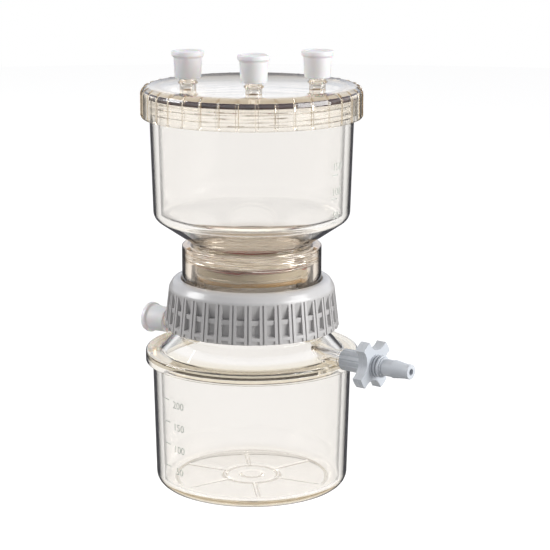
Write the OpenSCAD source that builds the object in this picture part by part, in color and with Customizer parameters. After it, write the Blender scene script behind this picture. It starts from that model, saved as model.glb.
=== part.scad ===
// Reusable vacuum filtration unit. An upper chamber with a ported screw cover is
// clamped by a captive lock ring over a membrane and its support plate, onto a
// receiver with a capped side port and a vacuum port.
// Millimetres, +Z up, origin at the centre of the receiver's foot, vacuum port along +X.

/* [Clear mouldings] */
// Wall of the chamber, the cup and the shoulder
wall = 3; // [2.4:0.1:3.6]

/* [Receiver cup] */
// Outer diameter of the cup under its rim
cup_d = 87.4; // [86:0.1:94]
// Radius that the cup loses from rim to foot
cup_draft = 1.4; // [0:0.1:2.5]
// Height from the foot to the bond between cup and shoulder
cup_h = 58.8; // [50:0.1:90]
// Radius of the rounding between wall and foot
foot_round = 5.3; // [4:0.1:7]
// Width of the bead that the cup stands on
foot_bead_w = 3; // [2:0.1:5]
// Height of the bead over the underside of the floor
foot_bead_h = 1; // [0.6:0.1:2]
// Thickness of the floor
floor_t = 2.6; // [2:0.1:4]
// Number of radial ribs under the floor
floor_ribs = 6; // [4:1:9]
// Width of the ribs under the floor
floor_rib_w = 1.4; // [1:0.1:2.5]
// Outer diameter of the round rib at the centre of the floor
hub_d = 25.4; // [18:0.1:34]

/* [Rim of the receiver] */
// Thickness of the flange on the cup
cup_flange_t = 2.5; // [1.8:0.1:4]
// Thickness of the flange on the shoulder
shoulder_flange_t = 2.6; // [1.8:0.1:4]
// Depth of the spigot that centres the shoulder in the cup
centring_h = 2.8; // [1.5:0.1:5]

/* [Receiver shoulder] */
// Radius that the shoulder's foot stays inside the cup's wall
shoulder_in = 0.8; // [0.4:0.1:3]
// Height of the conical shoulder
shoulder_h = 7.5; // [6:0.1:12]
// Height of the threaded neck
neck_h = 18.8; // [18:0.1:24]
// Width of the ledge that carries the support plate
seat_ledge_w = 2.8; // [2:0.1:4]
// Height of the seat over the threaded neck
seat_h = 6; // [5.5:0.1:10]
// Height of the rim that centres the support plate
seat_rim_h = 2.8; // [2:0.1:4]
// Thickness of the rim that centres the support plate
seat_rim_w = 1; // [0.8:0.1:1.4]

/* [Filter stack] */
// Diameter of the membrane
membrane_d = 47; // [46:0.1:48]
// Thickness of the membrane
membrane_t = 0.3; // [0.2:0.05:0.6]
// Radius that the support plate reaches beyond the membrane
plate_margin = 0.3; // [0.2:0.05:1]
// Thickness of the support plate
plate_t = 4; // [3:0.1:5]
// Diameter of the drain holes
drain_d = 2.6; // [1.8:0.1:3]
// Number of rings of drain holes
drain_rings = 4; // [3:1:5]
// Thickness of the gasket under the support plate
lower_gasket_t = 1.6; // [1:0.1:2.5]
// Thickness of the gasket over the membrane
upper_gasket_t = 1.9; // [1.4:0.1:2.5]
// Radial width of the gasket over the membrane
upper_gasket_w = 2.1; // [1.6:0.1:2.4]

/* [Upper chamber] */
// Width of the membrane's edge that the spout clamps
clamp_w = 1.2; // [1:0.1:2.5]
// Length of spout that the collar holds
spout_grip_h = 7.3; // [5:0.1:9]
// Depth of the seat that holds the upper gasket
gasket_seat_h = 1; // [0.6:0.1:1.3]
// Height of the short neck between the collar and the cone
cone_neck_h = 1.7; // [0.5:0.1:4]
// Slope of the conical bottom, in degrees
cone_angle = 34.2; // [28:0.1:45]
// Outer diameter of the chamber at its foot
chamber_d = 85.5; // [80:0.1:87]
// Height of the chamber from the top of the collar
chamber_h = 65.2; // [55:0.1:110]
// Radius of the rounding between cone and wall
chamber_round = 5; // [3:0.1:7]
// Height of the threaded band under the rim
thread_band_h = 6.8; // [5:0.1:9]
// Height of the thread over the chamber wall
thread_rise = 0.65; // [0.4:0.05:1]

/* [Neck collar] */
// Wall of the collar
collar_wall = 3.7; // [3:0.1:5]
// Width of the flange at the foot of the collar, out to the size of the threaded neck
collar_flange_w = 2.5; // [2:0.1:4]
// Thickness of the flange at the foot of the collar
collar_flange_t = 2.4; // [1.8:0.1:3.5]

/* [Lock ring] */
// Wall at the foot of the ring
ring_wall = 5; // [4.5:0.1:8]
// Radius that the ribbed side loses from foot to shoulder
ring_draft = 2.1; // [1:0.1:2.4]
// Height of the ring
ring_h = 21.3; // [18:0.1:22]
// Height of the smooth conical band over the ribs
ring_cone_h = 3.6; // [3:0.1:5]
// Radius that the conical band loses
ring_cone_in = 2; // [1:0.1:2.2]
// Radius of the rounding over and under the conical band
ring_round = 3; // [0.5:0.1:3.5]
// Thickness of the lip over the collar flange
lip_t = 2.4; // [1.8:0.1:3]
// Number of grip recesses
grips = 36; // [24:1:40]
// Width of a grip recess
grip_w = 3.4; // [2:0.1:3.6]
// Depth of the upper wedge of a grip recess at its foot
wedge_deep = 2.3; // [1.2:0.05:2.5]
// Height of the wedge
wedge_h = 6.5; // [5:0.1:8]
// Depth of the bar between the wedge and the pad of a grip recess
bar_deep = 0.4; // [0.1:0.05:0.8]
// Height of that bar
bar_h = 1.7; // [1:0.1:2.4]
// Depth of the lower pad of a grip recess
pad_deep = 1.4; // [0.5:0.05:1.6]
// Height of the pad
pad_h = 5; // [4:0.1:7]
// Depth of the notch under a grip recess
notch_deep = 0.7; // [0.3:0.05:1]
// Height of the notch
notch_h = 1.7; // [1:0.1:2]

/* [Cover] */
// Outer diameter over the ribs of the cover, which the chamber's rim fits
cover_d = 96; // [95.4:0.1:100]
// Thickness of the top of the cover
cover_t = 2.6; // [2:0.1:4]
// Height of the cover's side
cover_h = 13.6; // [12.5:0.1:18]
// Wall of the cover's side
skirt_t = 2.2; // [1.8:0.1:2.3]
// Height of the grip ribs over the cover's side
rib_rise = 0.4; // [0.2:0.05:0.6]
// Width of a grip rib on the cover
rib_w = 1.3; // [0.8:0.1:2.5]
// Number of grip ribs on the cover
cover_ribs = 36; // [20:1:40]
// Radius of the rounding at the top edge of the cover
cover_round = 3.9; // [2.5:0.1:4]
// Depth of the plug ring that centres the cover
plug_h = 4.5; // [3.5:0.1:7]
// Thickness of the cover seal
seal_t = 1.8; // [1.5:0.1:3.5]
// Radial width of the cover seal
seal_w = 3.8; // [3:0.1:4.2]

/* [Ports] */
// Outer diameter of every port tube
port_d = 7; // [6.4:0.1:7.4]
// Bore of every port tube
port_bore_d = 4.2; // [3:0.1:4.8]
// Distance from the plug ring in to the circle that the cover ports stand on
port_inset = 9.45; // [8.9:0.05:16]
// Height of the cover ports over the cover
port_h = 11.9; // [10.5:0.1:14]
// Gap between a cap at rest and the wall that its port stands on
cap_stand_off = 4.9; // [4:0.1:6]
// Height of the side port's axis
side_port_z = 66.2; // [65.6:0.1:66.6]
// Height of the vacuum port's axis
vacuum_port_z = 63.8; // [63.6:0.1:64.8]
// Distance from the unit's axis to the cap on the side port, which the rim stays inside
side_fit_r = 47.4; // [46.9:0.1:52]
// Distance that the vacuum fitting starts further out than that cap
fitting_out = 2.6; // [0:0.1:6]
// Length of side port tube inside its cap or fitting
side_grip_h = 7; // [6:0.1:7.5]

/* [Port caps] */
// Height of a port cap
cap_h = 11.5; // [10.5:0.1:13]
// Outer diameter of a port cap at its open end
cap_d = 11.2; // [10:0.1:12.4]
// Outer diameter of the flange on a port cap
cap_flange_d = 13.7; // [13:0.1:15]
// Thickness of the flange on a port cap
cap_flange_t = 2.3; // [1.8:0.1:3]
// Depth of the bore in a port cap
cap_bore_h = 8.4; // [8:0.1:9]

/* [Vacuum fitting] */
// Outer diameter of the fluted socket
socket_d = 9.4; // [9:0.1:10.5]
// Length of the fluted socket
socket_h = 11.4; // [11:0.1:18]
// Number of flutes on the socket
flutes = 14; // [10:1:18]
// Reach of the lobes on the grip flanges
lobe_r = 11.4; // [10:0.1:13]
// Distance from the fitting's axis to the hollow between two lobes
waist_r = 6.4; // [5.5:0.1:7.5]
// Radius of the hollow between two lobes
hollow_r = 6.9; // [6:0.1:8]
// Turn of the grip flanges about the fitting's axis, in degrees
grip_turn = 9.5; // [0:0.5:45]
// Thickness of one grip flange
grip_flange_t = 2.2; // [1.8:0.1:3]
// Diameter of the hose connector's hub
hub_ring_d = 9.4; // [8.6:0.1:10.5]
// Diameter of the hose connector's shaft
shaft_d = 7.2; // [6.8:0.1:7.6]
// Length of the hub with its rings
hub_h = 4.6; // [4:0.1:6]
// Length of the shaft between hub and hose barb
shaft_h = 5.2; // [3:0.1:8]
// Largest diameter of the hose barb
barb_d = 7.8; // [7.6:0.1:8.6]
// Diameter of the hose barb's straight tip
barb_tip_d = 6.3; // [5.8:0.1:6.8]
// Length of the hose barb's cone
barb_h = 5.5; // [4:0.1:9]
// Length of the hose barb's straight tip
barb_tip_h = 2.6; // [2.5:0.1:5]
// Diameter of the plug that joins the connector to the socket
plug_d = 4.8; // [4.4:0.1:5]
// Length of the plug in the socket
plug_grip_h = 5; // [4:0.1:5.5]
// Bore through the fitting
fitting_bore_d = 2.8; // [2:0.1:3]

/* [Clearances] */
// Gap between the rim that centres the support plate and the collar
seat_side_gap = 1.7; // [1:0.1:3]
// Gap between the receiver's rim and the cap on the side port
rim_gap = 0.6; // [0.3:0.1:1]
// Radial clearance of a thread's smooth envelope
thread_gap = 0.4; // [0.3:0.05:0.5]
// Axial gap between the collar and the receiver's neck
axial_gap = 0.4; // [0.3:0.05:0.6]
// Axial play of the lock ring on the collar
ring_play = 0.1; // [0.05:0.05:0.3]
// Gap on each side of the cover seal
seal_gap = 0.1; // [0.05:0.05:0.3]
// Radial clearance of a push fit
push_gap = 0.05; // [0.03:0.01:0.1]
// Radial clearance of a part that is laid in a seat
laid_gap = 0.3; // [0.2:0.05:0.4]

/* [Hidden] */
$fn = 96;

// steps in a rounding
steps = 5;
// overlap of shapes that become one moulding, and overshoot of a cut
weld = 0.4;
// small edge rounding of the mouldings
edge = 0.5;
// directions of the cover ports about the axis
port_angles = [-111, -51, 9];
// direction of the first rib under the floor
floor_rib_turn = 12.5;
// share of the foot bead's height that the ribs under the floor stand out
floor_rib_share = 0.8;
// size of the bead that stops a cap or fitting on its port tube
bead_h = 1;
bead_rise = 0.7;

clear_tint = [0.93, 0.92, 0.88, 0.35];
cover_tint = [0.85, 0.78, 0.66, 0.5];
ring_grey = [0.79, 0.79, 0.78];
fitting_grey = [0.73, 0.75, 0.78];
cap_white = [0.86, 0.86, 0.87, 0.8];
seal_red = [0.42, 0.13, 0.12];
gasket_amber = [0.6, 0.5, 0.28];

// filter seat and neck, from the membrane outwards
membrane_r = membrane_d / 2;
plate_r = membrane_r + plate_margin;
throat_r = plate_r - seat_ledge_w;
seat_in_r = plate_r + laid_gap;
seat_out_r = seat_in_r + seat_rim_w;
spout_in_r = membrane_r - clamp_w;
spout_r = seat_out_r + seat_side_gap;
collar_r = spout_r + collar_wall;
neck_r = collar_r + collar_flange_w;
ring_bore_r = neck_r + thread_gap;
lip_bore_r = collar_r + thread_gap;
ring_r = ring_bore_r + ring_wall;
ring_shoulder_r = ring_r - ring_draft;

// receiver, from the foot up
cup_r = cup_d / 2;
foot_r = cup_r - cup_draft;
floor_z = foot_bead_h + floor_t;
rim_r = side_fit_r - rim_gap;
cup_in_r = cup_r - wall;
flange_z = cup_h + shoulder_flange_t;
shoulder_r = cup_in_r - shoulder_in;
neck_z = flange_z + shoulder_h;
neck_top_z = neck_z + neck_h;
seat_z = neck_top_z + seat_h;

// filter stack, from the seat up
plate_z = seat_z + lower_gasket_t;
membrane_z = plate_z + plate_t;
gasket_z = membrane_z + membrane_t;

// chamber
gasket_top_z = gasket_z + upper_gasket_t;
spout_z = gasket_top_z - gasket_seat_h;
gasket_seat_r = spout_in_r + upper_gasket_w + push_gap * 2;
ledge_z = spout_z + spout_grip_h;
cone_rise = tan(cone_angle);
chamber_foot_r = chamber_d / 2;
cone_z = ledge_z + cone_neck_h;
chamber_foot_z = cone_z + (chamber_foot_r - spout_r) * cone_rise;
chamber_rim_z = ledge_z + chamber_h;
inner_cone_z = cone_z + wall / cos(cone_angle);

// rim of the chamber, from the side of the cover inwards
cover_r = cover_d / 2;
skirt_r = cover_r - rib_rise;
skirt_in_r = skirt_r - skirt_t;
thread_r = skirt_in_r - thread_gap;
chamber_rim_r = thread_r - thread_rise;
chamber_mouth_r = chamber_rim_r - wall;

// collar
collar_z = neck_top_z + axial_gap;
collar_flange_z = collar_z + collar_flange_t;

// lock ring
lip_z = collar_flange_z + ring_play;
ring_top_z = lip_z + lip_t;
ring_z = ring_top_z - ring_h;
ring_shoulder_z = ring_top_z - ring_cone_h;
wedge_top_z = ring_shoulder_z - weld * 2;
wedge_foot_z = wedge_top_z - wedge_h;
pad_top_z = wedge_foot_z - bar_h;
pad_foot_z = pad_top_z - pad_h;

// cover
cover_under_z = chamber_rim_z + seal_gap + seal_t + seal_gap;
cover_z = cover_under_z + cover_t;
skirt_z = cover_z - cover_h;
plug_r = chamber_mouth_r - thread_gap;
port_circle_r = plug_r - port_inset;
seal_out_r = thread_r;

// ports and caps
port_r = port_d / 2;
port_bore_r = port_bore_d / 2;
fit_r = port_r + push_gap;
cap_r = cap_d / 2;
cap_flange_r = cap_flange_d / 2;
fitting_r = side_fit_r + fitting_out;
bead_r = port_r + bead_rise;

// vacuum fitting, along its own axis from the end of the fluted socket
socket_r = socket_d / 2;
grip_z = socket_h;
split_z = grip_z + grip_flange_t;
connector_z = split_z + push_gap;
hub_z = connector_z + grip_flange_t;
shaft_z = hub_z + hub_h;
barb_z = shaft_z + shaft_h;
tip_z = barb_z + barb_h;
tip_end_z = tip_z + barb_tip_h;

function unit(v) = v / norm(v);

// points of an arc of radius r that rounds corner b between a and c
function bend(a, b, c, r) =
    let (u = unit(a - b), v = unit(c - b), half = acos(u * v) / 2,
         centre = b + unit(u + v) * r / sin(half),
         first = b + u * r / tan(half) - centre,
         from = atan2(first.y, first.x),
         side = u.x * v.y > u.y * v.x ? -1 : 1)
    [for (i = [0:steps]) let (angle = from + side * (180 - 2 * half) * i / steps)
        centre + r * [cos(angle), sin(angle)]];

// outline through corners [x, y, r], each rounded by its own radius r
function outline(corners) =
    let (n = len(corners), p = [for (c = corners) [c.x, c.y]])
    [for (i = [0:n - 1]) let (r = corners[i][2])
        each r == 0 ? [p[i]] : bend(p[(i + n - 1) % n], p[i], p[(i + 1) % n], r)];

module turned(corners) {
    rotate_extrude() polygon(outline(corners));
}

// flat ring between two radii
module washer(r_in, r_out, z, t) {
    turned([[r_in, z, 0], [r_out, z, 0], [r_out, z + t, 0], [r_in, z + t, 0]]);
}

// stands a shape that is drawn along +Z out along a direction about the axis
module sideways(angle, r, z) {
    rotate([0, 0, angle]) translate([r, 0, z]) rotate([0, 90, 0]) children();
}

module receiver_cup() {
    flange_under_z = cup_h - cup_flange_t;
    bead_in_r = foot_r - foot_round - foot_bead_w;
    color(clear_tint) {
        turned([[0, foot_bead_h, 0], [bead_in_r - edge, foot_bead_h, 0],
                [bead_in_r, 0, edge / 2], [foot_r, 0, foot_round],
                [cup_r, flange_under_z, edge], [rim_r, flange_under_z, edge],
                [rim_r, cup_h, 0], [cup_in_r, cup_h, 0],
                [foot_r - wall, floor_z, foot_round - wall], [0, floor_z, 0]]);
        rib_h = foot_bead_h * floor_rib_share;
        rib_z = foot_bead_h - rib_h;
        washer(hub_d / 2 - floor_rib_w, hub_d / 2, rib_z, rib_h + weld);
        translate([0, 0, rib_z]) cylinder(d = floor_rib_w * 2, h = rib_h + weld);
        rib_in = hub_d / 2 - floor_rib_w / 2;
        for (i = [0:floor_ribs - 1])
            rotate([0, 0, floor_rib_turn + i * 360 / floor_ribs])
                translate([rib_in, -floor_rib_w / 2, rib_z])
                    cube([bead_in_r - rib_in, floor_rib_w, rib_h + weld]);
    }
}

// tube that leaves the shoulder and takes a cap or the vacuum fitting
module side_port(angle, fit_from, z) {
    root_r = neck_r - wall / 2;
    sideways(angle, root_r, z) cylinder(r = port_r, h = fit_from + side_grip_h - root_r);
    sideways(angle, fit_from - bead_h - weld, z) cylinder(r = bead_r, h = bead_h);
}

module receiver_shoulder() {
    // radius that the cone gains for each unit of height
    flare = (shoulder_r - neck_r) / shoulder_h;
    inset = wall * norm([flare, 1]);
    neck_in_r = neck_r - wall;
    centring_r = cup_in_r - laid_gap;
    centring_z = cup_h - centring_h;
    bore_from = neck_in_r - wall;
    color(clear_tint) difference() {
        union() {
            turned([[0, centring_z, 0], [centring_r, centring_z, 0], [centring_r, cup_h, 0],
                    [rim_r, cup_h, 0], [rim_r, flange_z, edge * 2],
                    [shoulder_r, flange_z, edge * 2], [neck_r, neck_z, edge],
                    [neck_r, neck_top_z, edge], [seat_out_r, neck_top_z, edge],
                    [seat_out_r, seat_z + seat_rim_h, 0], [0, seat_z + seat_rim_h, 0]]);
            side_port(0, fitting_r, vacuum_port_z);
            side_port(180, side_fit_r, side_port_z);
        }
        turned([[0, centring_z - weld, 0], [centring_r - wall / 2, centring_z - weld, 0],
                [centring_r - wall / 2, centring_z, 0],
                [shoulder_r - inset + shoulder_flange_t * flare, cup_h, 0],
                [neck_in_r, neck_z - (inset - wall) / flare, edge],
                [neck_in_r, neck_top_z - wall, edge * 2], [throat_r, neck_top_z - wall, edge],
                [throat_r, seat_z, 0], [seat_in_r, seat_z, 0],
                [seat_in_r, seat_z + seat_rim_h + weld, 0], [0, seat_z + seat_rim_h + weld, 0]]);
        for (port = [[0, fitting_r, vacuum_port_z], [180, side_fit_r, side_port_z]])
            sideways(port[0], bore_from, port[2])
                cylinder(r = port_bore_r, h = port[1] + side_grip_h + weld - bore_from);
    }
}

module support_gasket() {
    color(gasket_amber) washer(throat_r, seat_in_r - push_gap, seat_z, lower_gasket_t);
}

module support_plate() {
    pitch = (spout_in_r - drain_d) / drain_rings;
    color([0.72, 0.7, 0.66]) difference() {
        turned([[0, plate_z, 0], [plate_r, plate_z, edge / 2],
                [plate_r, membrane_z, edge / 2], [0, membrane_z, 0]]);
        for (ring = [1:drain_rings], i = [0:6 * ring - 1])
            rotate([0, 0, i * 60 / ring]) translate([pitch * ring, 0, plate_z - weld])
                cylinder(d = drain_d, h = plate_t + 2 * weld);
    }
}

module membrane_filter() {
    color("white") translate([0, 0, membrane_z]) cylinder(r = membrane_r, h = membrane_t);
}

module spout_gasket() {
    inner = spout_in_r + push_gap;
    color(seal_red) washer(inner, inner + upper_gasket_w, gasket_z, upper_gasket_t);
}

module upper_chamber() {
    band_z = chamber_rim_z - edge * 2 - thread_band_h;
    draft = (chamber_rim_r - chamber_foot_r) / (chamber_rim_z - chamber_foot_z);
    wall_r = chamber_foot_r + draft * (band_z - chamber_foot_z);
    color(clear_tint) turned([
        [gasket_seat_r, spout_z, 0], [spout_r, spout_z, 0], [spout_r, cone_z, 0],
        [chamber_foot_r, chamber_foot_z, chamber_round],
        [wall_r, band_z, 0], [thread_r, band_z + thread_rise, 0],
        [thread_r, chamber_rim_z - edge * 2 - thread_rise, 0],
        [chamber_rim_r, chamber_rim_z - edge * 2, 0], [chamber_rim_r, chamber_rim_z, edge],
        [chamber_mouth_r, chamber_rim_z, edge],
        [chamber_foot_r - wall, inner_cone_z + (chamber_foot_r - wall - spout_r) * cone_rise,
         chamber_round - wall / 2],
        [spout_in_r, inner_cone_z - (spout_r - spout_in_r) * cone_rise, edge],
        [spout_in_r, gasket_top_z, 0], [gasket_seat_r, gasket_top_z, 0]]);
}

module neck_collar() {
    color(clear_tint) turned([
        [spout_r, collar_z, 0], [neck_r, collar_z, 0], [neck_r, collar_flange_z, 0],
        [collar_r, collar_flange_z, edge], [collar_r, ledge_z, edge], [spout_r, ledge_z, 0]]);
}

// section of one grip recess in the ring's radial plane
module grip_section() {
    out_r = ring_r + weld;
    // radius of the ring's side at a height
    function side_r(z) = ring_r - ring_draft * (z - ring_z) / (ring_shoulder_z - ring_z);
    pad_r = side_r(pad_top_z) - pad_deep;
    bar_r = side_r(wedge_foot_z) - bar_deep;
    polygon([[side_r(wedge_top_z), wedge_top_z], [out_r, wedge_top_z],
             [out_r, pad_foot_z - pad_deep / 2], [side_r(pad_foot_z), pad_foot_z - pad_deep / 2],
             [pad_r, pad_foot_z], [pad_r, pad_top_z], [bar_r, pad_top_z - bar_deep],
             [bar_r, wedge_foot_z], [side_r(wedge_foot_z) - wedge_deep, wedge_foot_z]]);
    translate([ring_r - notch_deep, ring_z - weld])
        square([notch_deep + weld, notch_h + weld]);
}

module locking_ring() {
    pitch = 360 / grips;
    groove_w = grip_w / 5;
    // lean of the ribbed side from the vertical, in degrees
    lean = atan(ring_draft / (ring_shoulder_z - ring_z));
    color(ring_grey) difference() {
        turned([[lip_bore_r, ring_top_z, edge], [lip_bore_r, lip_z, 0],
                [ring_bore_r, lip_z, 0], [ring_bore_r, ring_z, edge],
                [ring_r, ring_z, edge], [ring_shoulder_r, ring_shoulder_z, ring_round],
                [ring_shoulder_r - ring_cone_in, ring_top_z, ring_round]]);
        for (i = [0:grips - 1]) {
            rotate([0, 0, i * pitch]) rotate([90, 0, 0])
                linear_extrude(grip_w, center = true) grip_section();
            rotate([0, 0, (i + 0.5) * pitch])
                translate([ring_r - groove_w, -groove_w / 2, ring_z - weld])
                    rotate([0, -lean, 0])
                        cube([ring_draft, groove_w, ring_shoulder_z - ring_z - edge]);
        }
    }
}

module cover_seal() {
    color(seal_red)
        washer(seal_out_r - seal_w, seal_out_r, chamber_rim_z + seal_gap, seal_t);
}

module cover() {
    rib_h = cover_h - cover_round;
    color(cover_tint) difference() {
        union() {
            turned([[0, cover_under_z, 0], [plug_r - wall / 2, cover_under_z, edge],
                    [plug_r - wall / 2, cover_under_z - plug_h, 0],
                    [plug_r, cover_under_z - plug_h, 0], [plug_r, cover_under_z, 0],
                    [skirt_in_r, cover_under_z, 0], [skirt_in_r, skirt_z, 0],
                    [skirt_r, skirt_z, edge], [skirt_r, cover_z, cover_round],
                    [0, cover_z, 0]]);
            for (i = [0:cover_ribs - 1])
                rotate([0, 0, i * 360 / cover_ribs])
                    translate([skirt_r - weld, -rib_w / 2, skirt_z + edge])
                        cube([rib_rise + weld, rib_w, rib_h - edge * 2]);
            for (angle = port_angles)
                rotate([0, 0, angle]) translate([port_circle_r, 0, cover_z - weld]) {
                    cylinder(r = port_r, h = port_h + weld);
                    translate([0, 0, cap_stand_off - bead_h]) cylinder(r = bead_r, h = bead_h);
                }
        }
        for (angle = port_angles)
            rotate([0, 0, angle]) translate([port_circle_r, 0, cover_under_z - weld])
                cylinder(r = port_bore_r, h = cover_t + port_h + 2 * weld);
    }
}

// push-on cap, open end at the origin and flange at the far end
module port_cap() {
    flange_z = cap_h - cap_flange_t;
    color(cap_white) turned([
        [0, cap_bore_h, 0], [fit_r, cap_bore_h, 0], [fit_r, 0, 0], [cap_r, 0, edge],
        [cap_r + edge, flange_z, 0], [cap_flange_r, flange_z, edge],
        [cap_flange_r, cap_h, edge], [0, cap_h, 0]]);
}

module cover_cap(index) {
    rotate([0, 0, port_angles[index]])
        translate([port_circle_r, 0, cover_z + cap_stand_off]) port_cap();
}

module side_port_cap() {
    sideways(180, side_fit_r, side_port_z) port_cap();
}

// flange with four lobes and hollow sides
module grip_flange(z) {
    translate([0, 0, z]) linear_extrude(grip_flange_t) difference() {
        circle(r = lobe_r);
        for (quarter = [0:3])
            rotate(quarter * 90 - grip_turn) translate([waist_r + hollow_r, 0]) circle(r = hollow_r);
    }
}

module vacuum_socket() {
    flute_r = socket_r * PI / flutes / 2;
    plug_hole_r = plug_d / 2 + push_gap;
    color(fitting_grey) sideways(0, fitting_r, vacuum_port_z) difference() {
        union() {
            cylinder(r = socket_r, h = grip_z + weld);
            grip_flange(grip_z);
        }
        for (i = [0:flutes - 1])
            rotate([0, 0, i * 360 / flutes]) translate([socket_r + flute_r / 2, 0, -weld])
                cylinder(r = flute_r, h = grip_z + weld - edge, $fn = 16);
        translate([0, 0, -weld]) cylinder(r = fit_r, h = side_grip_h + edge + weld);
        cylinder(r = plug_hole_r, h = split_z + weld);
    }
}

module hose_connector() {
    shaft_r = shaft_d / 2;
    hub_r = hub_ring_d / 2;
    tip_r = barb_tip_d / 2;
    pitch = hub_h / 3;
    ring_corners = [for (i = [0:2]) let (z = hub_z + i * pitch)
        each [[hub_r, z, 0], [hub_r, z + pitch / 2, 0],
              [shaft_r + edge, z + pitch / 2, 0], [shaft_r + edge, z + pitch, 0]]];
    color(fitting_grey) sideways(0, fitting_r, vacuum_port_z) difference() {
        union() {
            grip_flange(connector_z);
            turned(concat(
                [[0, connector_z - plug_grip_h, 0],
                 [plug_d / 2, connector_z - plug_grip_h, edge],
                 [plug_d / 2, connector_z, 0], [shaft_r, connector_z, 0],
                 [shaft_r, hub_z, 0]],
                ring_corners,
                [[shaft_r, shaft_z, 0], [shaft_r, barb_z, 0], [barb_d / 2, barb_z, 0],
                 [tip_r, tip_z, 0], [tip_r, tip_end_z, edge / 2], [0, tip_end_z, 0]]));
        }
        translate([0, 0, connector_z - plug_grip_h - weld])
            cylinder(d = fitting_bore_d, h = tip_end_z + plug_grip_h);
    }
}

receiver_cup();
receiver_shoulder();
support_gasket();
support_plate();
membrane_filter();
spout_gasket();
upper_chamber();
neck_collar();
locking_ring();
cover_seal();
cover();
cover_cap(0);  // cover_cap_left
cover_cap(1);  // cover_cap_middle
cover_cap(2);  // cover_cap_right
side_port_cap();
vacuum_socket();
hose_connector();
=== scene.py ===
# Vacuum filtration unit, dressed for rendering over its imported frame.
# Shapes are given in mm. Materials, floor, lamps and camera are given in metres.
import math

import bmesh
import bpy
from mathutils import Matrix, Vector


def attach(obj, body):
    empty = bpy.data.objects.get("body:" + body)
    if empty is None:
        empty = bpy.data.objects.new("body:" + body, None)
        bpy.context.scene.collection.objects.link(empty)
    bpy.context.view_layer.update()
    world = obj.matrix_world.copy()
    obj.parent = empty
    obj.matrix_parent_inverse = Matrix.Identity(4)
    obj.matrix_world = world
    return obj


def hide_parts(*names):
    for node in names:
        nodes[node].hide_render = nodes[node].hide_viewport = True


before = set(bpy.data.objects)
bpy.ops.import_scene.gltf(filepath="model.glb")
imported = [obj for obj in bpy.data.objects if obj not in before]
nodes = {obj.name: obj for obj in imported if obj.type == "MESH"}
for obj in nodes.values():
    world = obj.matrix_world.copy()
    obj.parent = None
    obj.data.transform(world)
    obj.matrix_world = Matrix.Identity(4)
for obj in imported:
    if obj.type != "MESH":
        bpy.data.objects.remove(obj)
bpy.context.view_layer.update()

MM = 0.001
TURN = 2 * math.pi
LARGE_ROUND = 240  # facets round a large piece
CAP_ROUND = 72  # facets round a cap
PORT_ROUND = 64  # facets round a port tube
CRISP = math.radians(32)  # an edge that turns by more than this stays sharp


# ---------------------------------------------------------------- shader nodes
def new_material(name):
    m = bpy.data.materials.new(name)
    m.use_nodes = True
    return m, m.node_tree, m.node_tree.nodes["Principled BSDF"]


def add(tree, kind, **values):
    """New node with its inputs and settings given by name."""
    n = tree.nodes.new(kind)
    for key, value in values.items():
        if key in n.inputs:
            n.inputs[key].default_value = value
        else:
            setattr(n, key, value)
    return n


def calculated(tree, operation, *values):
    """Result of one operation on sockets or plain numbers."""
    n = add(tree, "ShaderNodeMath", operation=operation)
    for place, value in zip(n.inputs, values):
        if isinstance(value, float):
            place.default_value = value
        else:
            tree.links.new(value, place)
    return n.outputs[0]


def either(tree, first, second):
    return calculated(tree, "MAXIMUM", first, second)


def smoothed(tree, value, start, end):
    """0 up to start, 1 from end on, and an S curve between them."""
    n = add(tree, "ShaderNodeMapRange", interpolation_type="SMOOTHSTEP")
    n.inputs["From Min"].default_value = start
    n.inputs["From Max"].default_value = end
    tree.links.new(value, n.inputs["Value"])
    return n.outputs["Result"]


def upward(tree, vector):
    """Z of a vector."""
    n = add(tree, "ShaderNodeSeparateXYZ")
    tree.links.new(vector, n.inputs["Vector"])
    return n.outputs["Z"]


def mixed(tree, first, second, share):
    """Colour between two colours, each plain values or a socket."""
    mix = add(tree, "ShaderNodeMix", data_type="RGBA")
    for colour, place in ((first, 6), (second, 7)):
        if isinstance(colour, tuple):
            mix.inputs[place].default_value = (*colour, 1)
        else:
            tree.links.new(colour, mix.inputs[place])
    tree.links.new(share, mix.inputs[0])
    return mix.outputs[2]


def mixed_shader(tree, first, second, share):
    """Shader between two shader nodes."""
    mix = add(tree, "ShaderNodeMixShader")
    tree.links.new(share, mix.inputs["Fac"])
    tree.links.new(first.outputs[0], mix.inputs[1])
    tree.links.new(second.outputs[0], mix.inputs[2])
    return mix


LONG_PATHS = (("Glossy Depth", 2.5), ("Ray Depth", 7.5))


def worn_out(tree, path):
    """1 for a ray that has bounced about for long, such as one caught inside a wall."""
    over = [calculated(tree, "GREATER_THAN", path.outputs[kind], limit) for kind, limit in LONG_PATHS]
    return either(tree, *over)


def seen_white(tree):
    """1 for what the camera sees, directly or through clear plastic; 0 for every other ray."""
    path = add(tree, "ShaderNodeLightPath")
    seen = either(tree, path.outputs["Is Camera Ray"], path.outputs["Is Transmission Ray"])
    return either(tree, seen, worn_out(tree, path))


def bumps(tree, shader, scale, strength, distance, detail=3.0):
    """Fine unevenness of a moulded surface."""
    where = add(tree, "ShaderNodeTexCoord")
    noise = add(tree, "ShaderNodeTexNoise", Scale=scale, Detail=detail)
    bump = add(tree, "ShaderNodeBump", Strength=strength, Distance=distance)
    tree.links.new(where.outputs["Object"], noise.inputs["Vector"])
    tree.links.new(noise.outputs["Fac"], bump.inputs["Height"])
    tree.links.new(bump.outputs["Normal"], shader.inputs["Normal"])


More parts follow.
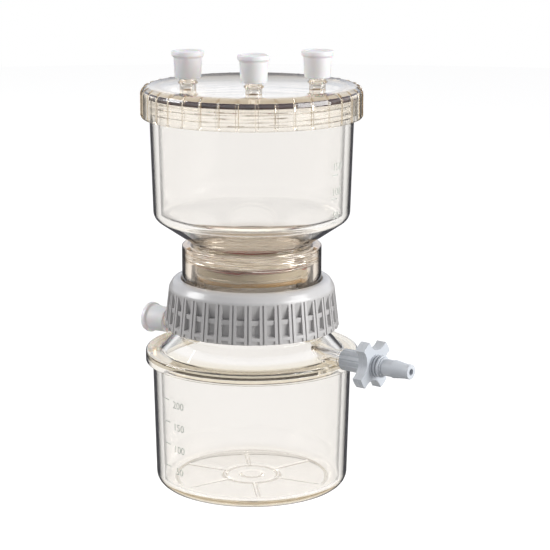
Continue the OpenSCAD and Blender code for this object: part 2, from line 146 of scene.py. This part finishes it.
# ---------------------------------------------------------------- materials
LEVEL, UPRIGHT = 0.98, 0.9  # how upward a normal is on a level face and on a wall
CLEAR_ROUGH = 0.01
CLEAR_IOR = 1.6
CLEAR_WAVE = (45.0, 0.0004)  # noise scale and depth of the waves in a clear wall
SHADOW_PASS = 0.3  # share of lamp light that a tint leaves untouched
GRAIN = (900.0, 0.2, 0.00005)  # noise scale, strength and depth of a mould's grain
PATCHES = 60.0  # noise scale of slow changes in an opaque colour
MILK_DEPTH = 0.003


def edge_on(tree, start, end):
    """Mask of the painted edge shade: 0 where a wall faces the view, 1 where it is seen edge on; level faces
    stay at 0.
    """
    weight = add(tree, "ShaderNodeLayerWeight", Blend=0.5)
    surface = add(tree, "ShaderNodeNewGeometry")
    level = calculated(tree, "ABSOLUTE", upward(tree, surface.outputs["Normal"]))
    grazing = smoothed(tree, weight.outputs["Facing"], start, end)
    return calculated(tree, "MULTIPLY", grazing, smoothed(tree, level, LEVEL, UPRIGHT))


def clear_plastic(name, tint, absorb, density, edge, wave=0.05, edge_from=0.64, edge_to=0.80, foot=None):
    """Clear moulding with a tint, an absorbing body and painted shade on the walls where they are seen edge
    on.

    foot is (top, bottom, tint): below top the colour turns towards that darker tint, and it is fully that
    tint from bottom down.
    """
    m, tree, shader = new_material(name)
    body = tint
    if foot:
        top, bottom, shade = foot
        where = add(tree, "ShaderNodeTexCoord")
        low = smoothed(tree, upward(tree, where.outputs["Object"]), top, bottom)
        body = mixed(tree, tint, shade, low)
    # painted shade: the base colour turns to the edge colour where a wall is seen edge on
    side = edge_on(tree, edge_from, edge_to)
    tree.links.new(mixed(tree, body, edge, side), shader.inputs["Base Color"])
    shader.inputs["Transmission Weight"].default_value = 1.0
    shader.inputs["Roughness"].default_value = CLEAR_ROUGH
    shader.inputs["IOR"].default_value = CLEAR_IOR
    bumps(tree, shader, CLEAR_WAVE[0], wave, CLEAR_WAVE[1], 1.0)
    # lamps reach what is inside, and a ray that is caught in a wall leaves it
    path = add(tree, "ShaderNodeLightPath")
    passing = either(tree, path.outputs["Is Shadow Ray"], worn_out(tree, path))
    lit = add(tree, "ShaderNodeBsdfTransparent")
    lit.inputs["Color"].default_value = (*(SHADOW_PASS + (1 - SHADOW_PASS) * c for c in tint), 1)
    out = tree.nodes["Material Output"]
    tree.links.new(mixed_shader(tree, shader, lit, passing).outputs[0], out.inputs["Surface"])
    fog = add(tree, "ShaderNodeVolumeAbsorption", Density=density)
    fog.inputs["Color"].default_value = (*absorb, 1)
    tree.links.new(fog.outputs["Volume"], out.inputs["Volume"])
    return m


def solid_plastic(name, colour, rough, spread=0.04, sss=0.0, coat=0.0, clear=0.0, specular=0.5):
    """Opaque or milky moulding: a colour that varies a little, and a fine skin."""
    m, tree, shader = new_material(name)
    shader.inputs["Roughness"].default_value = rough
    shader.inputs["Subsurface Weight"].default_value = sss
    shader.inputs["Subsurface Scale"].default_value = MILK_DEPTH
    shader.inputs["Coat Weight"].default_value = coat
    shader.inputs["Transmission Weight"].default_value = clear
    shader.inputs["Specular IOR Level"].default_value = specular
    bumps(tree, shader, *GRAIN)
    where = add(tree, "ShaderNodeTexCoord")
    broad = add(tree, "ShaderNodeTexNoise", Scale=PATCHES, Detail=3.0)
    tree.links.new(where.outputs["Object"], broad.inputs["Vector"])
    low, high = (tuple(min(1.0, c * (1 + way * spread)) for c in colour) for way in (-1, 1))
    tree.links.new(mixed(tree, low, high, broad.outputs["Fac"]), shader.inputs["Base Color"])
    return m


# colour of the shade painted on clear walls where they are seen edge on
PAINTED_EDGE_SHADE = (0.002, 0.002, 0.003)
FOG = (0.80, 0.70, 0.50)
body_clear = clear_plastic("polysulfone_body", (0.93, 0.92, 0.91), FOG, 18.0, PAINTED_EDGE_SHADE)
shoulder_clear = clear_plastic("polysulfone_shoulder", (0.93, 0.92, 0.91), FOG, 18.0, PAINTED_EDGE_SHADE,
                               foot=(0.0625, 0.0610, (0.80, 0.75, 0.64)))
chamber_clear = clear_plastic("polysulfone_chamber", (0.945, 0.935, 0.925), FOG, 18.0, PAINTED_EDGE_SHADE,
                              foot=(0.1120, 0.1085, (0.50, 0.46, 0.40)))
# the cover's painted edge shade is a dark brown
cover_clear = clear_plastic("polysulfone_cover", (0.955, 0.945, 0.93), (0.75, 0.66, 0.50), 88.0,
                            (0.02, 0.016, 0.01), wave=0.08, edge_from=0.62)
collar_clear = clear_plastic("polysulfone_collar", (0.94, 0.92, 0.89), (0.80, 0.66, 0.48), 55.0,
                             PAINTED_EDGE_SHADE, edge_from=0.56, edge_to=0.72)
ring_grey = solid_plastic("ring_grey", (0.47, 0.46, 0.455), 0.28, coat=0.2)
fitting_grey = solid_plastic("fitting_grey", (0.52, 0.545, 0.58), 0.4)
cap_milky = solid_plastic("cap_milky", (0.93, 0.92, 0.93), 0.38, sss=0.3, clear=0.35)
seal_red = solid_plastic("seal_red", (0.022, 0.003, 0.003), 0.5, spread=0.12, specular=0.1)
gasket_red = solid_plastic("gasket_red", (0.20, 0.035, 0.035), 0.4, spread=0.12)
gasket_amber = solid_plastic("gasket_amber", (0.24, 0.14, 0.02), 0.4, spread=0.1)
plate_grey = solid_plastic("plate_grey", (0.31, 0.285, 0.23), 0.5, spread=0.06)
print_grey = solid_plastic("print_grey", (0.50, 0.52, 0.48), 0.5)
membrane_white = solid_plastic("membrane_white", (0.86, 0.86, 0.83), 0.8, spread=0.02)


# ---------------------------------------------------------------- geometry
def rounded(corners, steps):
    """Points through corners (x, y, r), each rounded by its own radius r."""
    points, n = [], len(corners)
    for i, (x, y, r) in enumerate(corners):
        b = Vector((x, y))
        if r <= 0:
            points.append(b)
            continue
        u = (Vector(corners[i - 1][:2]) - b).normalized()
        v = (Vector(corners[(i + 1) % n][:2]) - b).normalized()
        half = u.angle(v) / 2
        centre = b + (u + v).normalized() * r / math.sin(half)
        first = b + u * r / math.tan(half) - centre
        start = math.atan2(first.y, first.x)
        side = -1 if u.x * v.y > u.y * v.x else 1
        for k in range(steps + 1):
            a = start + side * (math.pi - 2 * half) * k / steps
            points.append(centre + Vector((math.cos(a), math.sin(a))) * r)
    return points


def even(n=LARGE_ROUND):
    return [TURN * i / n for i in range(n)]


def unmoved(angle, r, z):
    return r, z


def turned(corners, angles=None, shape=unmoved, steps=6):
    """Closed turned solid through corners (radius, level, rounding).

    shape(angle, r, z) may move a point.
    """
    angles = angles or even()
    bm = bmesh.new()
    loops = []
    for p in rounded(corners, steps):
        if p.x < 1e-6:
            loops.append([bm.verts.new((0, 0, shape(0, 0, p.y)[1]))])
            continue
        loop = []
        for a in angles:
            r, z = shape(a, p.x, p.y)
            loop.append(bm.verts.new((r * math.cos(a), r * math.sin(a), z)))
        loops.append(loop)
    m = len(angles)
    for i, loop in enumerate(loops):
        before = loops[i - 1]
        if len(loop) == 1 and len(before) == 1:
            continue
        for j in range(m):
            k = (j + 1) % m
            if len(loop) == 1:
                bm.faces.new((before[j], before[k], loop[0]))
            elif len(before) == 1:
                bm.faces.new((before[0], loop[k], loop[j]))
            else:
                bm.faces.new((before[j], before[k], loop[k], loop[j]))
    bmesh.ops.recalc_face_normals(bm, faces=bm.faces)
    return bm


def washer(r0, r1, z0, z1, edge=0.15):
    return turned([(r0, z0, edge), (r1, z0, edge), (r1, z1, edge), (r0, z1, edge)], steps=3)


def mesh_object(bm, name, place=None):
    """Mesh in mm becomes an object in metres."""
    if place is not None:
        bm.transform(place)
    bm.transform(Matrix.Scale(MM, 4))
    mesh = bpy.data.meshes.new(name)
    bm.to_mesh(mesh)
    bm.free()
    obj = bpy.data.objects.new(name, mesh)
    bpy.context.scene.collection.objects.link(obj)
    return obj


def soften(mesh):
    """Smooth shading that breaks at crisp edges."""
    for f in mesh.polygons:
        f.use_smooth = True
    mesh.set_sharp_from_angle(angle=CRISP)


def evaluated_mesh(obj):
    bpy.context.view_layer.update()
    return bpy.data.meshes.new_from_object(obj.evaluated_get(bpy.context.evaluated_depsgraph_get()))


def piece(bm, name, material, body, stands_for=(), place=None):
    """Piece that rides on a body and may stand for a solid of the frame."""
    obj = mesh_object(bm, name, place)
    obj.data.materials.append(material)
    soften(obj.data)
    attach(obj, body)
    if stands_for:
        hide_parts(*stands_for)
    return obj


def paint(name, material):
    """Material for a solid that is shown as it is."""
    obj = nodes[name]
    obj.data.materials.clear()
    obj.data.materials.append(material)


def upright(angle, r, z):
    """Place for a piece that points up, at an angle in degrees round the axis."""
    return Matrix.Rotation(math.radians(angle), 4, "Z") @ Matrix.Translation((r, 0, z))


def sideways(angle, r, z):
    """Place for a piece that points out from the axis."""
    return upright(angle, r, z) @ Matrix.Rotation(math.pi / 2, 4, "Y")


def ramp(v):
    """S curve from 0 to 1."""
    v = min(1.0, max(0.0, v))
    return v * v * (3 - 2 * v)


def between(z, low, high, over):
    """1 between two levels; it falls to 0 at each over a short way."""
    return ramp((z - low) / over) * ramp((high - z) / over)


def rows(r0, z0, r1, z1, step):
    """Points from one place to another at even steps."""
    n = max(1, round(math.dist((r0, z0), (r1, z1)) / step))
    return [(r0 + (r1 - r0) * i / n, z0 + (z1 - z0) * i / n, 0) for i in range(n + 1)]


def thread(a, z, pitch):
    """Height of a thread's rounded crest, from 0 to 1."""
    return ramp(0.5 + 0.9 * math.sin(TURN * (z / pitch) - a))


# ---------------------------------------------------------------- receiver
FLOOR_LEVEL = 1.0  # underside of the cup's floor inside its standing rim
FLOOR_R = 33.8
FLOOR_RIBS = [math.radians(12.5 + 60 * i) for i in range(6)]
RIB_RING_R = 12.0
SPOT_R = 5.0
RIB_HALF = 1.0  # half a rib's width, with its slope
RIB_SLOPE = 0.6
RIB_HIGH = 0.45
UNDER_R = (2.5, 4.2, 4.4, 4.6, 4.8, 5, 6.5, 8, 10, 11.0, 11.2, 11.4, 11.6, 12.4, 12.6, 12.8, 13.0,
           14.5, 16.5, 19, 22, 25, 28, 31)
cup_angles = set(even())
for rib in FLOOR_RIBS:
    cup_angles |= {(rib + math.radians(0.2 * i)) % TURN for i in range(-17, 18)}
cup_angles = sorted(cup_angles)
cup_angles = [a for i, a in enumerate(cup_angles) if i == 0 or a - cup_angles[i - 1] > 1e-3]


def floor_relief(a, r, z):
    """Round rib, six radial ribs and a plain centre spot under the floor."""
    if abs(z - FLOOR_LEVEL) > 0.01 or r > FLOOR_R:
        return r, z
    high = max(ramp((SPOT_R - r) / RIB_SLOPE), ramp((RIB_HALF - abs(r - RIB_RING_R)) / RIB_SLOPE))
    if r > RIB_RING_R - 0.5:
        ahead = [rib for rib in FLOOR_RIBS if math.cos(a - rib) > 0]
        off = min(abs(math.sin(a - rib)) * r for rib in ahead)
        high = max(high, ramp((RIB_HALF - off) / RIB_SLOPE))
    return r, z - RIB_HIGH * high


under = [(0, FLOOR_LEVEL, 0)] + [(r, FLOOR_LEVEL, 0) for r in UNDER_R] + [(32.8, FLOOR_LEVEL, 0.8)]
cup = turned(under + [(34.4, 0, 0.8), (42.3, 0, 5.3), (43.7, 56.3, 0.5), (46.8, 56.3, 0.4),
                      (46.8, 58.76, 0.2), (40.7, 58.76, 0.2), (39.3, 3.6, 2.3), (0, 3.6, 0)],
             cup_angles, floor_relief)
piece(cup, "cup_body", body_clear, "receiver", ["receiver_cup"])
paint("receiver_shoulder", shoulder_clear)
piece(washer(21.05, 24.0, 93.72, 95.28), "seat_gasket", gasket_amber, "receiver",
      ["support_gasket"])
paint("support_plate", plate_grey)
paint("membrane_filter", membrane_white)

# ---------------------------------------------------------------- chamber
COVER_PITCH = 3.0
THREAD_FADE = 0.8  # height over which a thread rises at its ends
RIM_FOOT = 165.2  # foot of the band under the rim that carries the cover's thread
RIM_R = 44.12
RIM_DRAFT = 0.03
RIM_THREAD_DEEP = 0.75
SPOUT_R = 26.6
COLLAR_BORE_R = 26.66
SPOUT_PITCH = 1.5  # of the fine ridges where spout and collar meet
SPOUT_RIDGE = 0.35


def chamber_shape(a, r, z):
    """Cover thread under the rim, and ridges round the spout."""
    if 165.4 < z < 171.9 and r > 43:
        high = RIM_THREAD_DEEP * between(z, 165.5, 171.9, THREAD_FADE) * thread(a, z, COVER_PITCH)
        return RIM_R + RIM_DRAFT * (z - RIM_FOOT) + high, z
    if 101.0 < z < 107.6 and 26 < r < 27:
        return SPOUT_R + SPOUT_RIDGE * thread(a, z, SPOUT_PITCH), z
    return r, z


def collar_shape(a, r, z):
    """Ridges inside the collar, over those of the spout."""
    if 101.0 < z < 107.6 and r < 27:
        return COLLAR_BORE_R + SPOUT_RIDGE * thread(a, z, SPOUT_PITCH), z
    return r, z


chamber = turned(
    [(24.5, 100.5, 0.15), (SPOUT_R, 100.5, 0.2)] + rows(SPOUT_R, 101.01, SPOUT_R, 107.4, 0.2)
    + [(26.8, 107.8, 0), (26.8, 109.5, 0.6), (42.75, 120.34, 5.0)]
    + rows(44.113, RIM_FOOT, 44.3, 172.0, 0.25)
    + [(44.35, 173.0, 0.5), (41.35, 173.0, 0.5), (39.75, 121.93, 3.5), (22.3, 110.07, 0.5),
       (22.3, 101.5, 0.15), (24.5, 101.5, 0)], shape=chamber_shape)
piece(chamber, "chamber_body", chamber_clear, "chamber", ["upper_chamber"])
collar = turned(
    [(26.9, 88.1, 0.2), (33, 88.1, 0.3), (33, 90.5, 0.3), (30.5, 90.5, 0.4), (30.5, 107.75, 0.5),
     (26.9, 107.75, 0)] + rows(26.7, 107.5, 26.7, 101.01, 0.2), shape=collar_shape)
piece(collar, "collar_body", collar_clear, "chamber", ["neck_collar"])
piece(washer(22.38, 24.42, 99.62, 101.47), "spout_gasket_red", gasket_red, "chamber",
      ["spout_gasket"])
paint("locking_ring", ring_grey)

# ---------------------------------------------------------------- cover
COVER_RIBS = 36
COVER_R = 47.6
COVER_TOP = 177.6
COVER_EDGE = 3.9  # rounding of the cover's upper edge
COVER_RIB_HIGH = 0.4
COVER_RIB_HALF = 0.75  # half a rib's width, with its slope
COVER_RIB_SLOPE = 0.25
SKIRT_R = 45.4  # inside of the skirt
SKIRT_THREAD_DEEP = 0.25
RIB_STEPS = (0, 0.035, 0.06, 0.085, 0.15, 0.3, 0.4, 0.5, 0.6, 0.7, 0.85, 0.915, 0.94, 0.965)
PORTS = (("left", -111), ("middle", -51), ("right", 9))
PORT_CIRCLE_R = 31.5


def cover_shape(a, r, z):
    """Ribs up the side and over the edge, and the thread inside the skirt."""
    if r > 44 and z > 164.2:
        near = abs(((a / TURN * COVER_RIBS + 0.5) % 1) - 0.5) * TURN * COVER_R / COVER_RIBS
        high = COVER_RIB_HIGH * ramp((COVER_RIB_HALF - near) / COVER_RIB_SLOPE)
        high *= between(z, 164.3, 177.55, 0.5)
        lean = math.asin(min(1.0, max(0.0, (z - (COVER_TOP - COVER_EDGE)) / COVER_EDGE)))
        return r + high * math.cos(lean), z + high * math.sin(lean)
    if 164.6 < z < 171.0 and 44 < r < 46:
        deep = SKIRT_THREAD_DEEP * between(z, 164.7, 171.0, THREAD_FADE) * thread(a, z, COVER_PITCH)
        return r - deep, z
    return r, z


cover_angles = sorted({TURN * (i + t) / COVER_RIBS for i in range(COVER_RIBS) for t in RIB_STEPS})
cover = turned(
    [(0, 175, 0), (39.45, 175, 0.4), (39.45, 170.5, 0.3), (40.95, 170.5, 0.3), (40.95, 175, 0.3),
     (SKIRT_R, 175, 0.5)] + rows(SKIRT_R, 171.2, SKIRT_R, 164.5, 0.25)
    + [(SKIRT_R, 164, 0.2), (COVER_R, 164, 0.4)]
    + rows(COVER_R, 164.9, COVER_R, 172.9, 1.0) + [(COVER_R, COVER_TOP, COVER_EDGE), (0, COVER_TOP, 0)],
    cover_angles, cover_shape, 9)
cover_piece = piece(cover, "cover_body", cover_clear, "lid", ["cover"])
TUBE = [(0, 176.4, 0), (3.5, 176.4, 0), (3.5, 180.0, 0.3), (4.2, 180.4, 0.3), (4.2, 181.0, 0.3),
        (3.5, 181.4, 0), (3.5, 189.5, 0.3), (0, 189.5, 0)]
BORE = [(0, 174, 0), (2.1, 174, 0), (2.1, 190, 0), (0, 190, 0)]
for _, angle in PORTS:
    for kind, outline in (("UNION", TUBE), ("DIFFERENCE", BORE)):
        cutter = mesh_object(turned(outline, even(PORT_ROUND), steps=4), "cutter",
                             upright(angle, PORT_CIRCLE_R, 0))
        mod = cover_piece.modifiers.new("port", "BOOLEAN")
        mod.operation, mod.object, mod.solver = kind, cutter, "EXACT"
        done = evaluated_mesh(cover_piece)
        cover_piece.modifiers.clear()
        cover_piece.data = done
        bpy.data.objects.remove(cutter)
soften(cover_piece.data)
piece(washer(41.25, 45.38, 173.12, 174.98, 0.2), "cover_seal_red", seal_red, "seal",
      ["cover_seal"])

# ---------------------------------------------------------------- caps and fitting
CAP = [(0, 8.4, 0), (3.6, 8.4, 0.3), (3.6, 0.05, 0.2), (5.6, 0.05, 0.4), (5.95, 8.6, 0.3),
       (6.5, 9.3, 0.3), (6.85, 9.6, 0.4), (6.85, 11.45, 0.5), (5.4, 11.45, 0.4), (5.0, 10.9, 0.5),
       (0, 10.7, 0)]
caps = [(f"cap_{label}", f"cover_cap_{label}", upright(angle, PORT_CIRCLE_R, 182.5))
        for label, angle in PORTS]
caps.append(("side_cap", "side_port_cap", sideways(180, 47.4, 66.2)))
for body, node, place in caps:
    cap = turned(CAP, even(CAP_ROUND), steps=4)
    piece(cap, f"{body}_body", cap_milky, body, [node], place)
paint("vacuum_socket", fitting_grey)
paint("hose_connector", fitting_grey)

# ---------------------------------------------------------------- scales
MARK_DEEP = 0.2
NUMBER_SIZE = 4.6
TICK_LONG, TICK_WIDE = 4.0, 0.45


def numeral(text):
    """Flat mesh of a plain number, centred on the origin."""
    curve = bpy.data.curves.new("numeral", "FONT")
    curve.body, curve.size, curve.align_x, curve.align_y = text, NUMBER_SIZE, "CENTER", "CENTER"
    curve.extrude, curve.resolution_u = MARK_DEEP / 2, 3
    holder = bpy.data.objects.new("numeral", curve)
    bpy.context.scene.collection.objects.link(holder)
    mesh = evaluated_mesh(holder)
    bpy.data.objects.remove(holder)
    return mesh


def scale(name, body, angle, marks, tick_x, foot_r, foot_z, draft):
    """Graduations round a wall of foot_r at foot_z; marks are (tick level, number level, number)."""
    flat = bmesh.new()
    for tick_z, number_z, number in marks:
        mesh = numeral(number)
        mesh.transform(Matrix.Translation((0, number_z, 0)))
        flat.from_mesh(mesh)
        tick = Matrix.Translation((tick_x, tick_z, 0)) @ Matrix.Diagonal((TICK_LONG, TICK_WIDE, MARK_DEEP, 1))
        bmesh.ops.create_cube(flat, size=1, matrix=tick)
    for v in flat.verts:
        x, z, out = v.co
        r = foot_r + draft * (z - foot_z) + out
        a = math.radians(angle) + x / foot_r
        v.co = (r * math.cos(a), r * math.sin(a), z)
    piece(flat, name, print_grey, body)


scale("chamber_scale", "chamber", 3.5, [(122.2, 125, "50"), (132.4, 135.3, "100"), (142.6, 146, "150")],
      -1.5, 42.75, 120.34, 0.0304)
scale("receiver_scale", "receiver", -99.5,
      [(13.8, 12.5, "50"), (23.9, 22.5, "100"), (34.0, 32.5, "150"), (44.1, 42.5, "200")],
      -8, 42.3, 0, 0.0249)

# ---------------------------------------------------------------- stage
WHITE = (1, 1, 1)
DARK_WALLS = (0.16, 0.16, 0.17)
BRIGHT_CEILING = (1.08, 1.15, 1.28)
SOFT_LIGHT = (0.38, 0.38, 0.39)
CEILING_FROM, CEILING_TO = 0.02, 0.16
FLOOR_DISC_R = 1.6
FLOOR_BELOW = 0.00002  # keeps the floor clear of the piece that stands on it
SEEN_MATT = (0.3, 0.3, 0.3, 1)
SEEN_GLOW = (0.82, 0.82, 0.82, 1)
LIT_MATT = (0.55, 0.55, 0.55, 1)
GLOSS_GLOW = (0.1, 0.1, 0.105, 1)

world = bpy.data.worlds.new("studio")
bpy.context.scene.world = world
world.use_nodes = True
tree = world.node_tree
# gloss sees a bluish white ceiling over dark walls, and the camera sees white
heading = add(tree, "ShaderNodeTexCoord")
rise = smoothed(tree, upward(tree, heading.outputs["Generated"]), CEILING_FROM, CEILING_TO)
path = add(tree, "ShaderNodeLightPath")
lit = mixed(tree, SOFT_LIGHT, mixed(tree, DARK_WALLS, BRIGHT_CEILING, rise), path.outputs["Is Glossy Ray"])
tree.links.new(mixed(tree, lit, WHITE, seen_white(tree)), tree.nodes["Background"].inputs["Color"])

floor_mesh = bmesh.new()
bmesh.ops.create_circle(floor_mesh, cap_ends=True, segments=96, radius=FLOOR_DISC_R)
mesh = bpy.data.meshes.new("floor")
floor_mesh.to_mesh(mesh)
floor_mesh.free()
floor = bpy.data.objects.new("floor", mesh)
floor.location.z = -FLOOR_BELOW
bpy.context.scene.collection.objects.link(floor)
paper, tree, shader = new_material("paper")
tree.nodes.remove(shader)
# the camera sees glow that a shadow can darken; other rays meet a plain floor
matt = add(tree, "ShaderNodeBsdfDiffuse", Color=SEEN_MATT)
glow = add(tree, "ShaderNodeEmission", Color=SEEN_GLOW)
both = add(tree, "ShaderNodeAddShader")
tree.links.new(matt.outputs[0], both.inputs[0])
tree.links.new(glow.outputs[0], both.inputs[1])
plain = add(tree, "ShaderNodeBsdfDiffuse", Color=LIT_MATT)
dark = add(tree, "ShaderNodeEmission", Color=GLOSS_GLOW)
path = add(tree, "ShaderNodeLightPath")
unseen = mixed_shader(tree, plain, dark, path.outputs["Is Glossy Ray"])
surface = mixed_shader(tree, unseen, both, seen_white(tree))
tree.links.new(surface.outputs[0], tree.nodes["Material Output"].inputs["Surface"])
mesh.materials.append(paper)

LAMP_TARGET = Vector((0, 0, 0.1))


def lamp(name, watts, size, place):
    """Square area lamp aimed at the object, not seen through the plastic."""
    data = bpy.data.lights.new(name, "AREA")
    data.energy, data.size = watts, size
    obj = bpy.data.objects.new(name, data)
    obj.location = place
    obj.rotation_euler = (LAMP_TARGET - Vector(place)).to_track_quat("-Z", "Y").to_euler()
    obj.visible_transmission = False
    bpy.context.scene.collection.objects.link(obj)


lamp("key", 16, 0.7, (-1.15, -0.8, 0.85))
lamp("fill", 22, 0.9, (1.25, 0.35, 0.5))

# ---------------------------------------------------------------- camera
VIEW_TURN = math.radians(37.5)
VIEW_FAR = 0.8406  # level distance from the axis
VIEW_HIGH = 0.2844
VIEW_DOWN = 0.223  # tilt below level, in radians
camera = bpy.data.cameras.new("camera")
camera.lens, camera.sensor_width, camera.shift_x = 128.6, 36, 0.0422
camera.clip_start, camera.clip_end = 0.05, 20
view = bpy.data.objects.new("camera", camera)
view.location = (VIEW_FAR * math.sin(VIEW_TURN), -VIEW_FAR * math.cos(VIEW_TURN), VIEW_HIGH)
view.rotation_euler = (math.pi / 2 - VIEW_DOWN, 0, VIEW_TURN)
bpy.context.scene.collection.objects.link(view)
bpy.context.scene.camera = view
bpy.context.scene.view_settings.view_transform = "Standard"

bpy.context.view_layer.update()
